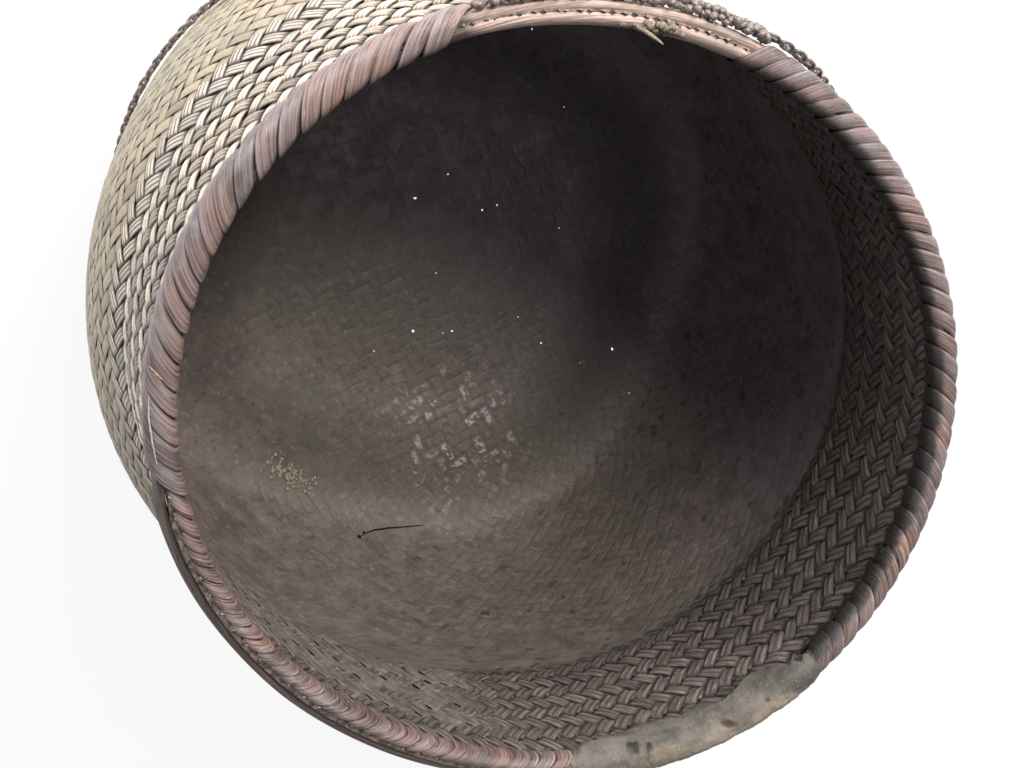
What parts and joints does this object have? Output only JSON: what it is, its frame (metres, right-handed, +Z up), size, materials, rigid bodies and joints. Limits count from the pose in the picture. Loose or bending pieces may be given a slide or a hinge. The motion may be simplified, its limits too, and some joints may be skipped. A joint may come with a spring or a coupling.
{
  "type": "plaited basket",
  "caption": "Squat round basket of twill plaited cane, with an oval mouth, a bound cane rim and a cord slung under its belly.",
  "frame": {"origin": "centre of the underside of the base, on the surface the basket stands on", "axes": "+Z up out of the mouth, +X along the long axis of the oval mouth"},
  "size_m": [0.239, 0.2372, 0.1848],
  "materials": {
    "plaited_cane": "smoked and handled plaited strips, satin on the belly, duller on the neck, dark and greasy inside",
    "strand_ends": "cut strip ends, dry and dusty",
    "bare_cane": "bare split cane, pink brown with long fibre streaks",
    "binding_strip": "flat cane strip, red brown, rubbed to a sheen",
    "fine_binding": "narrow cane strip, dark red brown, glossy on its turns",
    "pitch": "old pitch or mud coat, grey green brown, dull and pitted",
    "bark_cord": "looped bark fibre cord, dark grey brown, waxy on its knots"
  },
  "bodies": {
    "root": {"woven_body": "plaited_cane", "strand_lip": "strand_ends", "inner_hoop": "bare_cane", "outer_hoop": "bare_cane", "binding_left": "binding_strip", "binding_lower_left": "fine_binding", "binding_right_low": "binding_strip", "binding_right_high": "binding_strip", "pitch_coat": "pitch", "carrying_cord": "bark_cord"}
  },
  "joints": []
}
